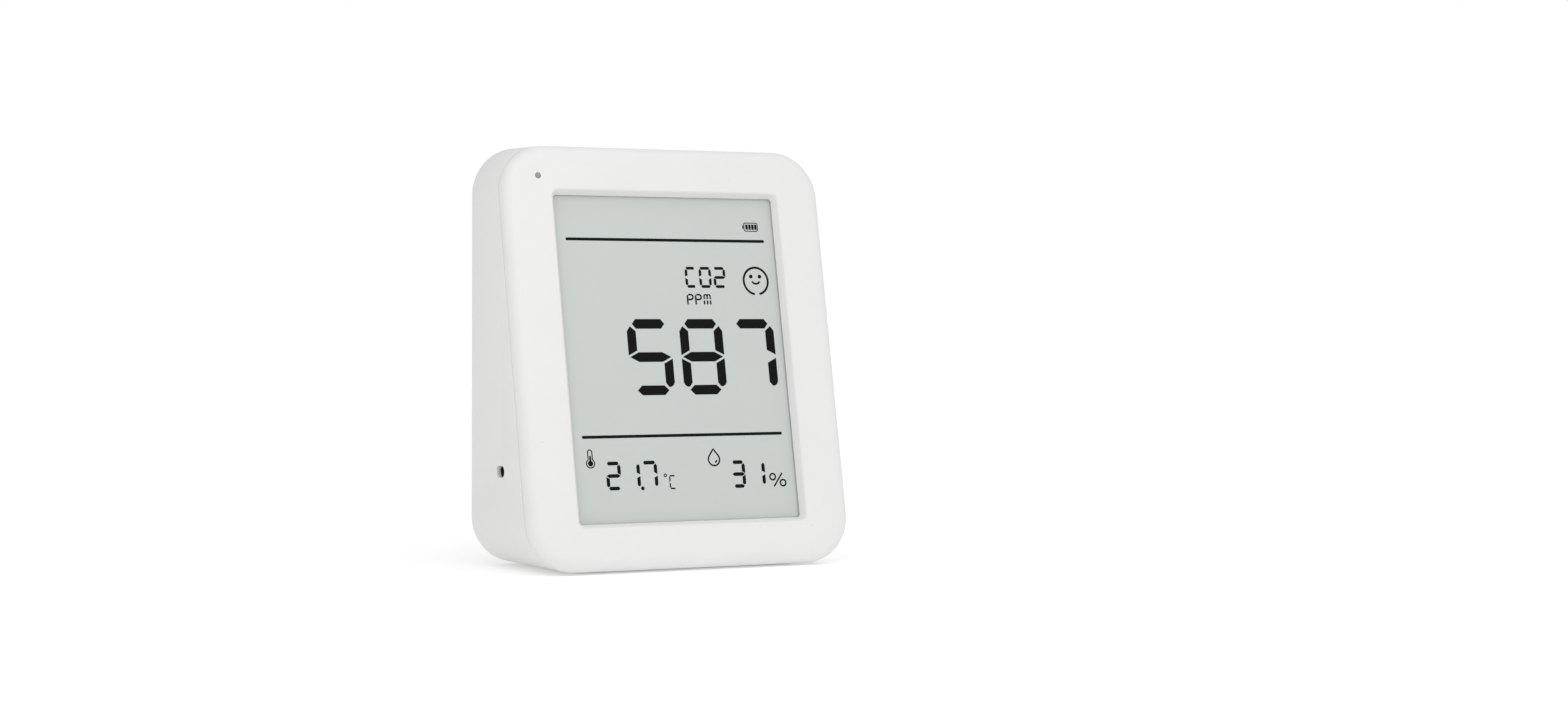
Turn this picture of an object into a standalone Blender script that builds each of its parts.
"""A desktop carbon dioxide monitor: a wedge-shaped case with a segment display in its leaning front, a back
that carries the electronics, and a bay for two AA cells behind a lift-off door. Metres, +Z up; the front
faces -Y; the origin is on the surface that it stands on, under the middle of the case.

The helpers below take millimetres and scale them once, where a mesh is made.
"""

import math

import bmesh
import bpy
from mathutils import Matrix, Vector

MM = 0.001
GAP = 0.15  # clearance between small pieces that touch

# Case
WIDTH = 65.0
FLOOR = 0.4  # height of the case's underside: the pad lifts it off the surface
TOP = 77.0
DEPTH = 30.0  # front plane to back plane, at the underside
LEAN = math.radians(11.5)
CORNER = 8.8
FRONT_ROUND = 2.4
BACK_ROUND = 1.4
SKIN = 1.5  # thickness of the front's flat face
WALL = 1.8
FRONT_Y = -15.24  # where the front plane meets the underside's height
BACK_Y = FRONT_Y + DEPTH
INNER_BACK_Y = BACK_Y - WALL
SEAM = 2.9  # depth of the parting line behind the front plane
SEAM_GAP = 0.25
PAD_HALF = 23.0
PAD_FRONT = -10.0
PAD_BACK = 12.0
PAD_THICK = 0.8

# Display, in the front plane's own coordinates: across, up the face, and depth behind it
WINDOW_HALF = 22.4
WINDOW_LOW = 9.0
WINDOW_HIGH = 69.3
WINDOW_SLOPE = 0.9  # how far the window's edge opens out between the display and the front plane
GLASS_HALF = 24.5
GLASS_LOW = 8.0
GLASS_HIGH = 70.8
GLASS_FRONT = 2.0
GLASS_BACK = 3.1
FILM = 0.2
FRAME_BACK = 4.5
FRAME_EAR_X = 27.2
FRAME_EARS = (20.0, 60.0)
LAMP_X = -25.7
LAMP_UP = 72.6
LAMP_RADIUS = 0.5

# Power
CELL_RADIUS = 7.25
CELL_LENGTH = 50.5
NUB_LENGTH = 1.0
CELL_Y = 5.6
CELL_HEIGHTS = {"lower": 11.4, "upper": 26.3}
BAY_HALF = 27.4
BAY_LOW = 3.8
BAY_HIGH = 33.9
BAY_FLOOR_Y = -1.95
BAY_WALL = 1.0
CONTACT = 0.4  # thickness of the contact strip
CONTACT_OUT = 27.2  # distance from the middle to a contact's outer face
DOOR_HALF = 28.6
DOOR_LOW = 3.5
DOOR_HIGH = 35.6
DOOR_CORNER = 2.5
DOOR_THICK = 1.2
DOOR_GAP = 0.3

# Electronics
BOARD_Y = 4.6  # front face of the main board
BOARD_THICK = 1.2
BOARD_BACK_Y = BOARD_Y + BOARD_THICK
BOARD_HALF = 28.8
BOARD_LOW = 38.2
BOARD_HIGH = 71.3
BOARD_POSTS = ((-26.0, 67.0), (26.0, 67.0), (-26.0, 45.0), (26.0, 45.0))
SENSOR_X = -12.0
SENSOR_Z = 56.0
SENSOR_SIDE = 10.1
SENSOR_TALL = 6.4
BUTTON_X = 13.0
BUTTON_Z = 60.0
BUTTON_RADIUS = 3.6
USB_Y = BOARD_BACK_Y + 1.75
USB_Z = 54.0
USB_TALL = 8.9
USB_THICK = 3.2
AIR_HOLE_Y = 0.4
AIR_HOLE_Z = 18.0
AIR_HOLE_LONG = 3.4
AIR_HOLE_TALL = 2.1

# Fasteners
CASE_SCREWS_HIGH = ((-17.0, 72.7), (17.0, 72.7))
CASE_SCREWS_LOW = ((-20.0, 4.45), (20.0, 4.45))
CASE_BOSS = 2.0
CASE_SHANK = 1.0
CASE_HEAD = 1.9
HIGH_SEAT_Y = BACK_Y - 1.4
LOW_SEAT_Y = -3.3
SMALL_SHANK = 0.75
SMALL_HEAD = 1.4

FACE = Matrix.Translation((0, FRONT_Y * MM, FLOOR * MM)) @ Matrix.Rotation(math.pi / 2 - LEAN, 4, "X")
UPRIGHT = Matrix.Rotation(math.pi / 2, 4, "X")  # across, up, and depth towards the back
SIDEWAYS = Matrix(((0, 0, 1, 0), (1, 0, 0, 0), (0, 1, 0, 0), (0, 0, 0, 1)))  # back, up, out to the right
PARTS = "carbon_dioxide_monitor"
CUTTERS = "cutters"


def clear_scene():
    for old in list(bpy.data.objects):
        bpy.data.objects.remove(old)
    for name in (PARTS, CUTTERS):
        bpy.context.scene.collection.children.link(bpy.data.collections.new(name))


def finish(name, colour, roughness, metallic=0.0):
    """A Principled material with the piece's colour, roughness and metallic value."""
    made = bpy.data.materials.new(name)
    made.use_nodes = True
    shader = made.node_tree.nodes["Principled BSDF"]
    shader.inputs["Base Color"].default_value = (*colour, 1.0)
    shader.inputs["Roughness"].default_value = roughness
    shader.inputs["Metallic"].default_value = metallic
    return made


def object_of(name, bm, helper=False):
    """Puts a bmesh, in millimetres, into the scene as an object in metres."""
    bmesh.ops.scale(bm, vec=(MM, MM, MM), verts=bm.verts)
    bmesh.ops.recalc_face_normals(bm, faces=bm.faces)
    mesh = bpy.data.meshes.new(name)
    bm.to_mesh(mesh)
    bm.free()
    return placed(bpy.data.objects.new(name, mesh), helper)


def placed(made, helper):
    bpy.data.collections[CUTTERS if helper else PARTS].objects.link(made)
    if helper:
        made.hide_render = True
        made.display_type = "WIRE"
    return made


def box(name, low, high, helper=False):
    bm = bmesh.new()
    bmesh.ops.create_cube(bm, size=1.0)
    bmesh.ops.scale(bm, vec=[h - l for l, h in zip(low, high)], verts=bm.verts)
    bmesh.ops.translate(bm, vec=[(h + l) / 2 for l, h in zip(low, high)], verts=bm.verts)
    return object_of(name, bm, helper)


def rod(name, start, end, radius, sides=16, helper=False):
    """A cylinder between two points."""
    start, end = Vector(start), Vector(end)
    turn = (end - start).to_track_quat("Z", "Y").to_matrix().to_4x4()
    bm = bmesh.new()
    bmesh.ops.create_cone(
        bm, cap_ends=True, segments=sides, radius1=radius, radius2=radius, depth=(end - start).length
    )
    bmesh.ops.transform(bm, matrix=Matrix.Translation((start + end) / 2) @ turn, verts=bm.verts)
    return object_of(name, bm, helper)


def rounded(low, high, radius, steps=4):
    """The points of a rectangle with round corners, counter-clockwise."""
    points = []
    for quarter, (across, up) in enumerate(((1, 1), (0, 1), (0, 0), (1, 0))):
        x = (low[0] + radius, high[0] - radius)[across]
        y = (low[1] + radius, high[1] - radius)[up]
        for step in range(steps + 1):
            angle = math.pi / 2 * (quarter + step / steps)
            points.append((x + radius * math.cos(angle), y + radius * math.sin(angle)))
    return points


def circle(x, y, radius, sides=12):
    turns = (2 * math.pi * i / sides for i in range(sides))
    return [(x + radius * math.cos(t), y + radius * math.sin(t)) for t in turns]


def plate(name, outlines, near, far, frame=UPRIGHT, helper=False):
    """A flat piece with holes: outlines in a plane, and thickness from near to far behind it."""
    curve = bpy.data.curves.new(name, "CURVE")
    curve.dimensions = "2D"
    curve.fill_mode = "BOTH"
    curve.extrude = (far - near) / 2 * MM
    for outline in outlines:
        spline = curve.splines.new("POLY")
        spline.points.add(len(outline) - 1)
        spline.use_cyclic_u = True
        for point, (x, y) in zip(spline.points, outline):
            point.co = (x * MM, y * MM, 0, 1)
    drawn = bpy.data.objects.new(name + "_outline", curve)
    bpy.context.scene.collection.objects.link(drawn)
    graph = bpy.context.evaluated_depsgraph_get()
    mesh = bpy.data.meshes.new_from_object(drawn.evaluated_get(graph))
    bm = bmesh.new()
    bm.from_mesh(mesh)
    bmesh.ops.remove_doubles(bm, verts=bm.verts, dist=1e-7)
    bmesh.ops.recalc_face_normals(bm, faces=bm.faces)
    bm.to_mesh(mesh)
    bm.free()
    bpy.data.objects.remove(drawn)
    mesh.name = name
    made = placed(bpy.data.objects.new(name, mesh), helper)
    made.matrix_world = frame @ Matrix.Translation((0, 0, -(near + far) / 2 * MM))
    return made


def turned(name, profile, foot, axis, sides=16):
    """A turned piece: profile points (radius, height), top to bottom, about an axis that leaves the foot."""
    mesh = bpy.data.meshes.new(name)
    points = [(r * MM, 0, h * MM) for r, h in profile]
    mesh.from_pydata(points, [(i, i + 1) for i in range(len(points) - 1)], [])
    made = placed(bpy.data.objects.new(name, mesh), False)
    made.location = Vector(foot) * MM
    made.rotation_mode = "QUATERNION"
    made.rotation_quaternion = Vector(axis).to_track_quat("Z", "Y")
    screw = made.modifiers.new("turn", "SCREW")
    screw.steps = sides
    screw.render_steps = sides
    screw.use_merge_vertices = True
    screw.merge_threshold = 1e-6
    return made


def tube(name, points, radius, resolution=2, cyclic=False):
    """A wire of round section through points."""
    curve = bpy.data.curves.new(name, "CURVE")
    curve.dimensions = "3D"
    curve.bevel_depth = radius * MM
    curve.bevel_resolution = resolution
    curve.use_fill_caps = True
    spline = curve.splines.new("POLY")
    spline.points.add(len(points) - 1)
    spline.use_cyclic_u = cyclic
    for point, place in zip(spline.points, points):
        point.co = (*(Vector(place) * MM), 1)
    return placed(bpy.data.objects.new(name, curve), False)


def smooth_path(places, steps=5):
    """Points along a smooth curve that passes through each place in turn."""
    ends = [2 * Vector(places[0]) - Vector(places[1]), 2 * Vector(places[-1]) - Vector(places[-2])]
    around = [ends[0], *map(Vector, places), ends[1]]
    path = []
    for a, b, c, d in zip(around, around[1:], around[2:], around[3:]):
        for step in range(steps):
            t = step / steps
            curve = (2 * a - 5 * b + 4 * c - d) * t**2 + (3 * b - a - 3 * c + d) * t**3
            path.append(0.5 * (2 * b + (c - a) * t + curve))
    return [*path, Vector(places[-1])]


def combine(target, other, operation):
    change = target.modifiers.new(other.name, "BOOLEAN")
    change.operation = operation
    change.object = other
    change.solver = "EXACT"


def cut(target, other):
    combine(target, other, "DIFFERENCE")


def join(target, other):
    combine(target, other, "UNION")


def on_face(across, up, depth):
    """The place, in millimetres, of a point given in the front plane's coordinates."""
    return FACE.to_3x3() @ Vector((across, up, -depth)) + FACE.translation / MM


def face_plane(depth):
    """A point and the outward normal of the plane that lies this deep behind the front."""
    return on_face(0, 0, depth), FACE.to_3x3() @ Vector((0, 0, 1))


def wedge(inset, front_depth, front_round=0.0, back_round=0.0, steps=8):
    """The case's outer form, drawn in by inset: a rounded rectangle carried back from the leaning front."""
    low = (-WIDTH / 2 + inset, 2 * FRONT_Y, FLOOR + inset)
    high = (WIDTH / 2 - inset, BACK_Y - inset, TOP - inset)
    bm = bmesh.new()
    bmesh.ops.create_cube(bm, size=1.0)
    bmesh.ops.scale(bm, vec=[h - l for l, h in zip(low, high)], verts=bm.verts)
    bmesh.ops.translate(bm, vec=[(h + l) / 2 for l, h in zip(low, high)], verts=bm.verts)
    long_edges = [e for e in bm.edges if abs(e.verts[0].co.y - e.verts[1].co.y) > 1]
    bmesh.ops.bevel(bm, geom=long_edges, offset=CORNER - inset, segments=steps, profile=0.5, affect="EDGES")
    keep_behind(bm, front_depth)
    place, normal = face_plane(front_depth)
    for radius, segments, on_rim in (
        (front_round, 4, lambda v: abs((v.co - place).dot(normal)) < 1e-3),
        (back_round, 3, lambda v: abs(v.co.y - high[1]) < 1e-3),
    ):
        rim = [e for e in bm.edges if on_rim(e.verts[0]) and on_rim(e.verts[1])]
        if radius:
            bmesh.ops.bevel(bm, geom=rim, offset=radius, segments=segments, profile=0.5, affect="EDGES")
    return bm


def keep_behind(bm, depth, front=False):
    """Cuts the solid along the plane this deep behind the front, and keeps what lies behind or before it."""
    place, normal = face_plane(depth)
    parted = bmesh.ops.bisect_plane(
        bm,
        geom=[*bm.verts, *bm.edges, *bm.faces],
        dist=1e-5,
        plane_co=place,
        plane_no=normal,
        clear_outer=not front,
        clear_inner=front,
    )
    rim = [g for g in parted["geom_cut"] if isinstance(g, bmesh.types.BMEdge)]
    bmesh.ops.edgeloop_fill(bm, edges=rim)


def make_case_half(name, front):
    """One of the two mouldings, as a shell: what lies before or behind the seam, less the hollow."""
    bm = wedge(0, 0, FRONT_ROUND, BACK_ROUND)
    keep_behind(bm, SEAM if front else SEAM + SEAM_GAP, front)
    half = object_of(name, bm)
    hollow = object_of(name + "_hollow", wedge(WALL, SKIN, steps=5), helper=True)
    cut(half, hollow)
    return half


def window_cutter():
    """A block whose sides widen towards the front, so that the window's edge slopes."""
    bm = bmesh.new()
    rings = []
    for extra, depth in ((-0.3, SKIN + 0.5), (WINDOW_SLOPE + 0.3, -0.5)):
        low = (-WINDOW_HALF - extra, WINDOW_LOW - extra)
        high = (WINDOW_HALF + extra, WINDOW_HIGH + extra)
        outline = rounded(low, high, 0.8 + extra, 3)
        rings.append([bm.verts.new(on_face(x, up, depth)) for x, up in outline])
    count = len(rings[0])
    for i in range(count):
        j = (i + 1) % count
        bm.faces.new((rings[0][i], rings[0][j], rings[1][j], rings[1][i]))
    bm.faces.new(reversed(rings[0]))
    bm.faces.new(rings[1])
    return object_of("window_cutter", bm, helper=True)


def make_front_bezel(white):
    """The front moulding: the window, four bosses for the case screws, posts for the display's frame."""
    bezel = make_case_half("front_bezel", front=True)
    cut(bezel, window_cutter())
    for index, (x, z) in enumerate((*CASE_SCREWS_HIGH, *CASE_SCREWS_LOW)):
        face_y = FRONT_Y + (z - FLOOR) * math.tan(LEAN)
        end_y = 8.6 if z > BAY_HIGH else -5.2
        boss = rod(f"bezel_boss_{index}", (x, face_y + 1.0, z), (x, end_y, z), CASE_BOSS, 14, helper=True)
        join(bezel, boss)
        hole = (x, end_y - (7.6 if z > BAY_HIGH else 6.0), z)
        cut(bezel, rod(f"bezel_pilot_{index}", hole, (x, end_y + 1, z), CASE_SHANK + GAP, 10, helper=True))
    for index, (x, up) in enumerate((side * FRAME_EAR_X, up) for side in (-1, 1) for up in FRAME_EARS):
        foot, end = on_face(x, up, SKIN - 0.5), on_face(x, up, GLASS_BACK + 0.2)
        join(bezel, rod(f"frame_post_{index}", foot, end, 1.7, 12, helper=True))
        foot, end = on_face(x, up, SKIN + 0.2), on_face(x, up, GLASS_BACK + 1)
        cut(bezel, rod(f"frame_pilot_{index}", foot, end, SMALL_SHANK + GAP, 8, helper=True))
    foot, end = on_face(LAMP_X, LAMP_UP, -1), on_face(LAMP_X, LAMP_UP, SKIN + 1)
    cut(bezel, rod("lamp_hole", foot, end, LAMP_RADIUS + 0.05, 12, helper=True))
    bezel.data.materials.append(white)


def obround(centre, tall, thick, steps=5):
    """A slot's outline: two half circles joined by straight sides, long side up."""
    x, z = centre
    low, high = (x - thick / 2, z - tall / 2), (x + thick / 2, z + tall / 2)
    return rounded(low, high, thick / 2 - 1e-3, steps)


def socket_form(name, shrink, inner_x, outer_x, helper=True):
    """A bar with the USB socket's oval outline, drawn in by shrink, lying across the right wall."""
    outline = obround((USB_Y, USB_Z), USB_TALL - shrink, USB_THICK - shrink)
    return plate(name, [outline], -outer_x, -inner_x, SIDEWAYS, helper)


def make_rear_housing(white):
    """The rear moulding: shell, battery bay, posts, vents, and the openings for the button and socket."""
    housing = make_case_half("rear_housing", front=False)
    # The walls' corners are round enough to stay inside the case's own round corners.
    walls = rounded((-BAY_HALF - BAY_WALL, FLOOR + 1.0), (BAY_HALF + BAY_WALL, BAY_HIGH + BAY_WALL), 2.3, 3)
    near, far = BAY_FLOOR_Y - BAY_WALL, INNER_BACK_Y + 0.5
    join(housing, plate("bay_walls", [walls], near, far, UPRIGHT, helper=True))
    for index, (x, z) in enumerate(CASE_SCREWS_LOW):
        pad = rod(f"bay_pad_{index}", (x, -4.9, z), (x, BAY_FLOOR_Y, z), CASE_BOSS + 0.2, 14, helper=True)
        join(housing, pad)
    for index, (x, z) in enumerate(CASE_SCREWS_HIGH):
        start, end = (x, 8.9, z), (x, INNER_BACK_Y + 0.5, z)
        join(housing, rod(f"high_post_{index}", start, end, CASE_BOSS + 0.4, 14, helper=True))
    for index, (x, z) in enumerate(BOARD_POSTS):
        start, end = (x, BOARD_BACK_Y + GAP, z), (x, INNER_BACK_Y + 0.5, z)
        join(housing, rod(f"board_post_{index}", start, end, 2.1, 12, helper=True))
    cut_bay(housing)
    cut_screw_ways(housing)
    cut_air_ways(housing)
    start, end = (BUTTON_X, 10, BUTTON_Z), (BUTTON_X, BACK_Y + 1, BUTTON_Z)
    cut(housing, rod("button_way", start, end, BUTTON_RADIUS + 0.2, 24, helper=True))
    cut(housing, socket_form("usb_way", -0.6, WIDTH / 2 - 4, WIDTH / 2 + 1))
    cut(housing, pad_form("pad_way", 0.2, FLOOR + 0.55, helper=True))
    housing.data.materials.append(white)


def cut_bay(housing):
    low, high = (-BAY_HALF, BAY_FLOOR_Y, BAY_LOW), (BAY_HALF, BACK_Y + 2, BAY_HIGH)
    cut(housing, box("bay_hollow", low, high, helper=True))
    half = DOOR_HALF + DOOR_GAP
    low, high = (-half, DOOR_LOW - DOOR_GAP), (half, DOOR_HIGH + DOOR_GAP)
    outline = rounded(low, high, DOOR_CORNER + DOOR_GAP)
    ledge_y = BACK_Y - DOOR_THICK - GAP
    cut(housing, plate("door_way", [outline], ledge_y, BACK_Y + 2, UPRIGHT, helper=True))
    for name, height in CELL_HEIGHTS.items():
        tab_low = (-BAY_HALF - 2.5, 9.6, height - 0.8)
        tab_high = (-BAY_HALF + 0.5, 11.9, height + 0.8)
        cut(housing, box(f"tab_way_{name}", tab_low, tab_high, helper=True))


def cut_screw_ways(housing):
    for index, (x, z) in enumerate(CASE_SCREWS_HIGH):
        start, seat, end = (x, 5, z), (x, HIGH_SEAT_Y, z), (x, BACK_Y + 1, z)
        cut(housing, rod(f"high_way_{index}", start, end, CASE_SHANK + GAP, 10, helper=True))
        cut(housing, rod(f"high_seat_{index}", seat, end, CASE_HEAD + GAP, 16, helper=True))
    for index, (x, z) in enumerate(CASE_SCREWS_LOW):
        start, seat, end = (x, -7, z), (x, LOW_SEAT_Y, z), (x, INNER_BACK_Y - 0.4, z)
        cut(housing, rod(f"low_way_{index}", start, (x, 0, z), CASE_SHANK + GAP, 10, helper=True))
        cut(housing, rod(f"low_seat_{index}", seat, end, CASE_HEAD + GAP, 16, helper=True))
    for index, (x, z) in enumerate(BOARD_POSTS):
        start, end = (x, 4, z), (x, BOARD_BACK_Y + 5, z)
        cut(housing, rod(f"board_pilot_{index}", start, end, SMALL_SHANK + GAP, 8, helper=True))


def cut_air_ways(housing):
    for row in range(5):
        z = SENSOR_Z + 2.4 * (row - 2)
        outline = [(across, up) for up, across in obround((z, SENSOR_X), 11.0, 1.2, 3)][::-1]
        cut(housing, plate(f"vent_{row}", [outline], BACK_Y - 4, BACK_Y + 1, UPRIGHT, helper=True))
    low = (AIR_HOLE_Y - AIR_HOLE_LONG / 2, AIR_HOLE_Z - AIR_HOLE_TALL / 2)
    high = (AIR_HOLE_Y + AIR_HOLE_LONG / 2, AIR_HOLE_Z + AIR_HOLE_TALL / 2)
    outline = rounded(low, high, AIR_HOLE_TALL / 2 - 1e-3, 5)
    cut(housing, plate("air_hole", [outline], WIDTH / 2 - 3, WIDTH / 2 + 1, SIDEWAYS, helper=True))


def make_battery_door(white):
    outline = rounded((-DOOR_HALF, DOOR_LOW), (DOOR_HALF, DOOR_HIGH), DOOR_CORNER)
    door = plate("battery_door", [outline], BACK_Y - DOOR_THICK, BACK_Y, UPRIGHT)
    rib = 0.8
    for index, low in enumerate((BAY_LOW + DOOR_GAP, BAY_HIGH - DOOR_GAP - rib)):
        rib_low = (-BAY_HALF + 8, BACK_Y - DOOR_THICK - 1.4, low)
        rib_high = (BAY_HALF - 8, BACK_Y - DOOR_THICK + 0.3, low + rib)
        join(door, box(f"door_rib_{index}", rib_low, rib_high, helper=True))
    grip_z = DOOR_HIGH - 1.5
    start, end = (0, BACK_Y - 0.7, grip_z), (0, BACK_Y + 1, grip_z)
    cut(door, rod("door_grip", start, end, 5.0, 24, helper=True))
    door.data.materials.append(white)


def pad_form(name, spread, height, helper=False):
    """A slab with the pad's outline, let out by spread, from the surface up to a height."""
    low, high = (-PAD_HALF - spread, PAD_FRONT - spread), (PAD_HALF + spread, PAD_BACK + spread)
    outline = rounded(low, high, 3.0 + spread)
    return plate(name, [outline], -height, 0.0, Matrix.Identity(4), helper)


def make_base_pad(rubber):
    pad = pad_form("base_pad", 0.0, PAD_THICK)
    pad.data.materials.append(rubber)


def face_sheet(name, low, high, near, far, coat, radius=0.4, holes=()):
    outline = rounded(low, high, radius, 2)
    made = plate(name, [outline, *holes], near, far, FACE)
    made.data.materials.append(coat)
    return made


def make_display(glass, film, grey, black):
    """The display from the front back: polariser, glass cell, reflector, and the frame that holds them."""
    sheet_low, sheet_high = (-GLASS_HALF + 0.9, GLASS_LOW + 0.9), (GLASS_HALF - 0.9, GLASS_HIGH - 0.7)
    near = GLASS_FRONT - 0.1
    face_sheet("front_polariser", sheet_low, sheet_high, near - FILM, near, film)
    low, high = (-GLASS_HALF, GLASS_LOW), (GLASS_HALF, GLASS_HIGH)
    face_sheet("display_glass", low, high, GLASS_FRONT, GLASS_BACK, glass)
    reflector_high = (sheet_high[0], sheet_high[1] - 3.0)
    near = GLASS_BACK + 0.05
    face_sheet("rear_reflector", sheet_low, reflector_high, near, near + FILM, grey)
    rim = 0.8
    frame_low = (-GLASS_HALF - rim, GLASS_LOW - rim)
    frame_high = (GLASS_HALF + rim, GLASS_HIGH + rim)
    frame = face_sheet("display_frame", frame_low, frame_high, GLASS_FRONT - 0.2, FRAME_BACK, black)
    near, far = GLASS_BACK + 0.4, FRAME_BACK
    for index, (side, up) in enumerate((side, up) for side in (-1, 1) for up in FRAME_EARS):
        low = (min(side * 25.0, side * FRAME_EAR_X), up - 1.9)
        high = (max(side * 25.0, side * FRAME_EAR_X), up + 1.9)
        arm = plate(f"frame_arm_{index}", [rounded(low, high, 0.3, 2)], near, far, FACE, helper=True)
        join(frame, arm)
        ear = circle(side * FRAME_EAR_X, up, 1.9, 12)
        join(frame, plate(f"frame_ear_{index}", [ear], near, far, FACE, helper=True))
    pocket_low = (-GLASS_HALF - 0.2, GLASS_LOW - 0.2)
    pocket_high = (GLASS_HALF + 0.2, GLASS_HIGH + 0.2)
    pocket = rounded(pocket_low, pocket_high, 0.4, 2)
    cut(frame, plate("frame_pocket", [pocket], 0, GLASS_BACK + 0.4, FACE, helper=True))
    slot = rounded((-9.0, 65.6), (9.0, 69.6), 0.5, 2)
    cut(frame, plate("flex_slot", [slot], 1, FRAME_BACK + 1, FACE, helper=True))
    for index, (side, up) in enumerate((side, up) for side in (-1, 1) for up in FRAME_EARS):
        foot, end = on_face(side * FRAME_EAR_X, up, 2), on_face(side * FRAME_EAR_X, up, 6)
        cut(frame, rod(f"ear_hole_{index}", foot, end, SMALL_SHANK + GAP, 8, helper=True))


def make_display_flex(amber):
    """The flexible strip that joins the glass's ledge to its connector on the main board."""
    start = on_face(0, GLASS_HIGH - 0.9, GLASS_BACK + 0.2)
    bend = on_face(0, GLASS_HIGH - 2.4, GLASS_BACK + 0.5)
    path = smooth_path([start, bend, (0, 3.3, 64.6), (0, 3.55, 62.4), (0, 3.6, 60.0)], 4)
    bm = bmesh.new()
    rows = [[bm.verts.new((x, p.y, p.z)) for x in (-8.0, 8.0)] for p in path]
    for above, below in zip(rows, rows[1:]):
        bm.faces.new((above[0], above[1], below[1], below[0]))
    flex = object_of("display_flex", bm)
    thick = flex.modifiers.new("thickness", "SOLIDIFY")
    thick.thickness = 0.12 * MM
    thick.offset = 0
    flex.data.materials.append(amber)


def screw(name, foot, axis, head, head_tall, shank, length, steel):
    """A pan-head screw with a round socket: foot is under the head, and axis points out of the head."""
    profile = [
        (0, head_tall * 0.45),
        (head * 0.42, head_tall * 0.45),
        (head * 0.42, head_tall),
        (head * 0.8, head_tall),
        (head, head_tall * 0.6),
        (head, 0),
        (shank, 0),
        (shank, -length + shank),
        (0, -length),
    ]
    made = turned(name, profile, foot, axis, 12)
    made.data.materials.append(steel)


def make_screws(steel):
    for side, (x, z) in zip(("left", "right"), CASE_SCREWS_HIGH):
        foot = (x, HIGH_SEAT_Y + GAP, z)
        screw(f"case_screw_high_{side}", foot, (0, 1, 0), CASE_HEAD, 1.0, CASE_SHANK, 10.0, steel)
    for side, (x, z) in zip(("left", "right"), CASE_SCREWS_LOW):
        foot = (x, LOW_SEAT_Y + GAP, z)
        screw(f"case_screw_low_{side}", foot, (0, 1, 0), CASE_HEAD, 1.0, CASE_SHANK, 7.0, steel)
    for index, (x, z) in enumerate(BOARD_POSTS):
        foot = (x, BOARD_Y - GAP, z)
        screw(f"board_screw_{index + 1}", foot, (0, -1, 0), SMALL_HEAD, 0.7, SMALL_SHANK, 5.0, steel)
    outward = FACE.to_3x3() @ Vector((0, 0, -1))
    for index, (side, up) in enumerate((side, up) for side in (-1, 1) for up in FRAME_EARS):
        foot = on_face(side * FRAME_EAR_X, up, FRAME_BACK + GAP)
        screw(f"frame_screw_{index + 1}", foot, outward, SMALL_HEAD, 0.7, SMALL_SHANK, 2.6, steel)


def make_main_board(green):
    outline = rounded((-BOARD_HALF, BOARD_LOW), (BOARD_HALF, BOARD_HIGH), 3.0, 3)
    holes = [circle(x, z, SMALL_SHANK + GAP, 8) for x, z in BOARD_POSTS]
    board = plate("main_board", [outline, *holes], BOARD_Y, BOARD_BACK_Y, UPRIGHT)
    for index, (x, z) in enumerate(CASE_SCREWS_HIGH):
        start, end = (x, BOARD_Y - 2, z), (x, BOARD_BACK_Y + 2, z)
        cut(board, rod(f"board_notch_{index}", start, end, CASE_BOSS + 0.6, 14, helper=True))
    board.data.materials.append(green)


def on_board(name, x, z, wide, tall, thick, coat, front=False, bevel=0.0):
    """A block that stands on the main board, on its back unless front is set."""
    near = BOARD_Y - GAP - thick if front else BOARD_BACK_Y + GAP
    made = box(name, (x - wide / 2, near, z - tall / 2), (x + wide / 2, near + thick, z + tall / 2))
    if bevel:
        edge = made.modifiers.new("edges", "BEVEL")
        edge.width = bevel * MM
        edge.segments = 2
    made.data.materials.append(coat)
    return made


def make_board_parts(steel, black, white):
    """What stands on the main board, apart from the switch and the socket."""
    on_board("sensor_body", SENSOR_X, SENSOR_Z, SENSOR_SIDE, SENSOR_SIDE, SENSOR_TALL, steel, bevel=0.4)
    top_y = BOARD_BACK_Y + GAP + SENSOR_TALL + 0.1
    disc = rod("sensor_membrane", (SENSOR_X, top_y, SENSOR_Z), (SENSOR_X, top_y + 0.25, SENSOR_Z), 3.2, 16)
    disc.data.materials.append(white)
    rings = []
    for half, radius in ((SENSOR_SIDE / 2 + 1.8, 1.5), (SENSOR_SIDE / 2 + 0.2, 0.6)):
        low, high = (SENSOR_X - half, SENSOR_Z - half), (SENSOR_X + half, SENSOR_Z + half)
        rings.append(rounded(low, high, radius, 2))
    gasket = plate("sensor_gasket", rings, INNER_BACK_Y - 2.4, INNER_BACK_Y - GAP, UPRIGHT)
    gasket.data.materials.append(black)
    on_board("radio_shield", 1.5, 63.0, 9.0, 11.0, 1.8, steel, bevel=0.3)
    on_board("buzzer", 13.0, 47.5, 8.5, 8.5, 2.6, black, bevel=0.4)
    on_board("processor", -8.0, 51.0, 7.0, 7.0, 0.9, black, front=True)
    on_board("power_inductor", 12.0, 48.0, 4.2, 4.2, 2.0, black, front=True, bevel=0.4)
    on_board("clock_crystal", -1.5, 51.0, 3.2, 1.5, 0.8, steel, front=True)
    on_board("flex_connector", 0.0, 60.3, 19.0, 3.0, 0.7, black, front=True)
    start, end = (-6.0, BOARD_BACK_Y + GAP, 43.0), (-6.0, BOARD_BACK_Y + GAP + 5.0, 43.0)
    can = rod("storage_capacitor", start, end, 2.5, 16)
    can.data.materials.append(steel)


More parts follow.
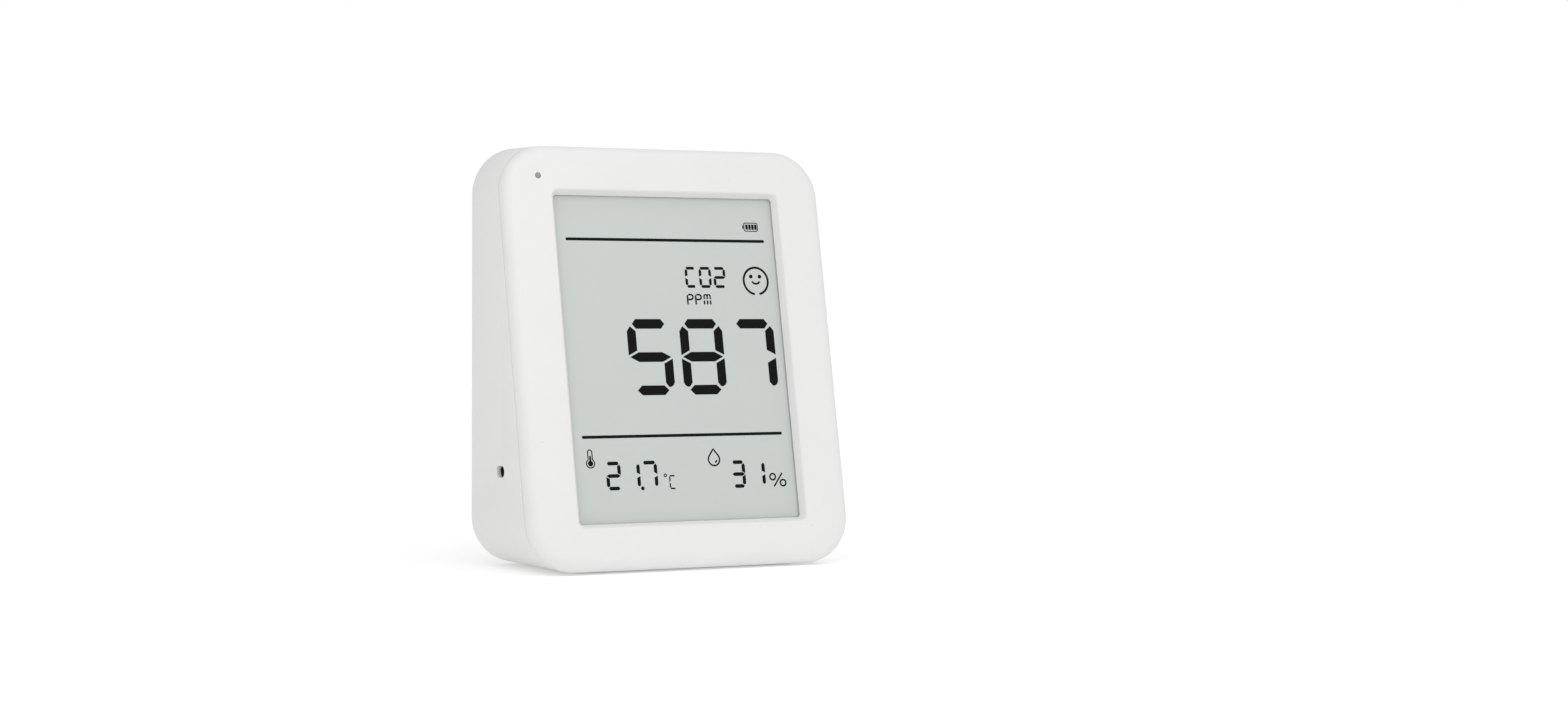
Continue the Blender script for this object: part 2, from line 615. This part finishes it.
def make_lamp(clear, amber):
    """The status lamp on the board and the pipe that carries its light to the front."""
    pipe_start, pipe_end = on_face(LAMP_X, LAMP_UP, 0.05), on_face(LAMP_X, LAMP_UP, 4.6)
    inward = pipe_end - pipe_start
    length = inward.length
    profile = [(0, length), (0.9, length), (0.9, 1.9), (LAMP_RADIUS, 1.9), (LAMP_RADIUS, 0), (0, 0)]
    pipe = turned("light_pipe", profile, pipe_start, inward, 12)
    pipe.data.materials.append(clear)
    lamp_back = BOARD_Y - GAP
    lamp = box("status_lamp", (LAMP_X - 0.8, lamp_back - 0.35, 69.9), (LAMP_X + 0.8, lamp_back, 70.9))
    lamp.data.materials.append(amber)


def make_button(white, black, steel):
    """The round button in the back, and the switch on the board that it presses."""
    foot = (BUTTON_X, 0, BUTTON_Z)
    profile = [
        (0, BACK_Y - 0.55),
        (BUTTON_RADIUS * 0.7, BACK_Y - 0.35),
        (BUTTON_RADIUS - 0.4, BACK_Y - 0.2),
        (BUTTON_RADIUS, BACK_Y - 0.5),
        (BUTTON_RADIUS, INNER_BACK_Y - GAP),
        (BUTTON_RADIUS + 0.9, INNER_BACK_Y - GAP),
        (BUTTON_RADIUS + 0.9, INNER_BACK_Y - 0.9),
        (1.4, INNER_BACK_Y - 0.9),
        (1.4, 11.3),
        (0, 11.3),
    ]
    cap = turned("mode_button", profile, foot, (0, 1, 0), 24)
    cap.data.materials.append(white)
    body = on_board("switch_body", BUTTON_X, BUTTON_Z, 6.0, 6.0, 3.5, black)
    well = rod("switch_well", (BUTTON_X, 8.3, BUTTON_Z), (BUTTON_X, 10.5, BUTTON_Z), 1.85, 16, helper=True)
    cut(body, well)
    plunger_profile = [(0, 11.1), (1.5, 11.1), (1.7, 10.9), (1.7, 8.9), (0, 8.9)]
    plunger = turned("switch_plunger", plunger_profile, foot, (0, 1, 0), 16)
    plunger.data.materials.append(steel)


def make_usb(steel, black):
    """The USB-C socket: an oval steel shell, closed at its inner end, with the contact tongue inside."""
    mouth_x = WIDTH / 2 - 0.4
    shell = socket_form("usb_shell", 0, mouth_x - 7.2, mouth_x, helper=False)
    cut(shell, socket_form("usb_hollow", 0.6, mouth_x - 6.6, mouth_x + 1))
    shell.data.materials.append(steel)
    low = (mouth_x - 6.4, USB_Y - 0.35, USB_Z - 3.3)
    high = (mouth_x - 1.0, USB_Y + 0.35, USB_Z + 3.3)
    tongue = box("usb_tongue", low, high)
    tongue.data.materials.append(black)


def make_climate_sensor(green, black, grey):
    """The temperature and humidity sensor, on its own small board behind the hole in the left wall."""
    wall_x = -WIDTH / 2 + WALL
    y, z = AIR_HOLE_Y, AIR_HOLE_Z
    chip = box("climate_sensor", (wall_x + 0.3, y - 1.5, z - 1.5), (wall_x + 1.1, y + 1.5, z + 1.5))
    chip.data.materials.append(black)
    board = box("climate_board", (wall_x + 1.2, y - 3.2, z - 4.0), (wall_x + 1.8, y + 3.6, z + 4.0))
    board.data.materials.append(green)
    rise = [(-30.0, 0.4, z + 4.9), (-30.0, 0.5, 28.0), (-29.9, 1.2, 35.0)]
    to_board = [(-28.4, 2.8, 40.0), (-26.0, 3.6, 42.0)]
    lead = tube("climate_lead", smooth_path(rise + to_board, 4), 0.55, 1)
    lead.data.materials.append(grey)


def make_cells(jacket):
    """Two AA cells lying across the bay, one each way round."""
    for name, side in (("upper", -1), ("lower", 1)):
        nub_x = side * (CONTACT_OUT - CONTACT - 0.3)
        foot = (nub_x - side * CELL_LENGTH, CELL_Y, CELL_HEIGHTS[name])
        body = CELL_LENGTH - NUB_LENGTH
        profile = [
            (0, CELL_LENGTH),
            (2.6, CELL_LENGTH),
            (2.75, CELL_LENGTH - 0.2),
            (2.75, body),
            (6.6, body),
            (CELL_RADIUS, body - 0.6),
            (CELL_RADIUS, 0.5),
            (CELL_RADIUS - 0.5, 0),
            (0, 0),
        ]
        cell = turned(f"cell_{name}", profile, foot, (side, 0, 0), 32)
        cell.data.materials.append(jacket)


def spring_path(side, height):
    """A conical coil, wide at the plate and narrow at the cell, turning about the cell's axis."""
    turns, steps = 2.5, 12
    path = []
    for i in range(int(turns * steps) + 1):
        share = i / (turns * steps)
        angle = 2 * math.pi * turns * share
        radius = 4.6 - 2.2 * share
        reach = CONTACT_OUT - CONTACT - 0.45 - 1.65 * share
        path.append((side * reach, CELL_Y + radius * math.cos(angle), height + radius * math.sin(angle)))
    return path


def make_contacts(nickel):
    """The contact strips: a bridge between the cells at one end, and two with solder tabs at the other."""
    low_y, high_y = CELL_Y - 4.9, CELL_Y + 4.9
    inner = CONTACT_OUT - CONTACT
    bridge_low = (inner, low_y, CELL_HEIGHTS["lower"] - 4.9)
    bridge_high = (CONTACT_OUT, high_y, CELL_HEIGHTS["upper"] + 4.9)
    bridge = box("contact_bridge", bridge_low, bridge_high)
    bridge.data.materials.append(nickel)
    for name, pole in (("upper", "positive"), ("lower", "negative")):
        height = CELL_HEIGHTS[name]
        low, high = (-CONTACT_OUT, low_y, height - 4.9), (-inner, high_y, height + 4.9)
        contact = box(f"contact_{pole}", low, high)
        tab_low, tab_high = (-BAY_HALF - 1.9, 9.8, height - 0.2), (-inner - 0.1, 11.7, height + 0.2)
        join(contact, box(f"tab_{name}", tab_low, tab_high, helper=True))
        contact.data.materials.append(nickel)
    for name, side in (("upper", 1), ("lower", -1)):
        spring = tube(f"spring_{name}", spring_path(side, CELL_HEIGHTS[name]), 0.35, 1)
        spring.data.materials.append(nickel)


def make_leads(red, black):
    """The leads from the contacts' solder tabs up the side of the bay to the main board."""
    x = -BAY_HALF - 2.2
    upper = [(x, 10.3, 27.2), (x, 10.2, 32.0), (-28.9, 8.6, 37.0), (-25.0, 6.65, 40.0), (-22.0, 6.65, 40.2)]
    lower = [(x, 12.2, 12.0), (x, 12.2, 26.0), (x, 11.9, 33.0), (-27.5, 9.0, 37.6), (-22.5, 7.6, 37.4)]
    lower.append((-19.0, 6.65, 39.4))
    for name, route, coat in (("positive_lead", upper, red), ("negative_lead", lower, black)):
        lead = tube(name, smooth_path(route, 4), 0.5, 1)
        lead.data.materials.append(coat)


def soften_shading():
    """Round pieces are shaded smooth, with their real edges kept sharp."""
    for made in bpy.data.collections[PARTS].objects:
        if made.type == "MESH":
            made.data.shade_smooth()
            made.data.set_sharp_from_angle(angle=math.radians(35))


def main():
    clear_scene()
    white = finish("white_case", (0.84, 0.84, 0.83), 0.5)
    rubber = finish("grey_silicone", (0.6, 0.6, 0.6), 0.7)
    glass = finish("display_glass", (0.62, 0.66, 0.64), 0.12)
    film = finish("polariser_film", (0.6, 0.63, 0.61), 0.3)
    grey = finish("reflector_film", (0.75, 0.76, 0.75), 0.4)
    black = finish("black_plastic", (0.03, 0.03, 0.03), 0.5)
    green = finish("green_board", (0.02, 0.2, 0.08), 0.4)
    steel = finish("bright_steel", (0.7, 0.7, 0.7), 0.3, 1.0)
    nickel = finish("nickel_plate", (0.72, 0.7, 0.66), 0.25, 1.0)
    amber = finish("amber_polyimide", (0.6, 0.3, 0.05), 0.3)
    clear = finish("clear_pipe", (0.6, 0.6, 0.6), 0.2)
    jacket = finish("cell_jacket", (0.05, 0.12, 0.3), 0.3)
    red = finish("red_insulation", (0.6, 0.03, 0.03), 0.4)
    make_front_bezel(white)
    make_rear_housing(white)
    make_battery_door(white)
    make_base_pad(rubber)
    make_display(glass, film, grey, black)
    make_display_flex(amber)
    make_screws(steel)
    make_main_board(green)
    make_board_parts(steel, black, white)
    make_lamp(clear, amber)
    make_button(white, black, steel)
    make_usb(steel, black)
    make_climate_sensor(green, black, grey)
    make_cells(jacket)
    make_contacts(nickel)
    make_leads(red, black)
    soften_shading()


main()
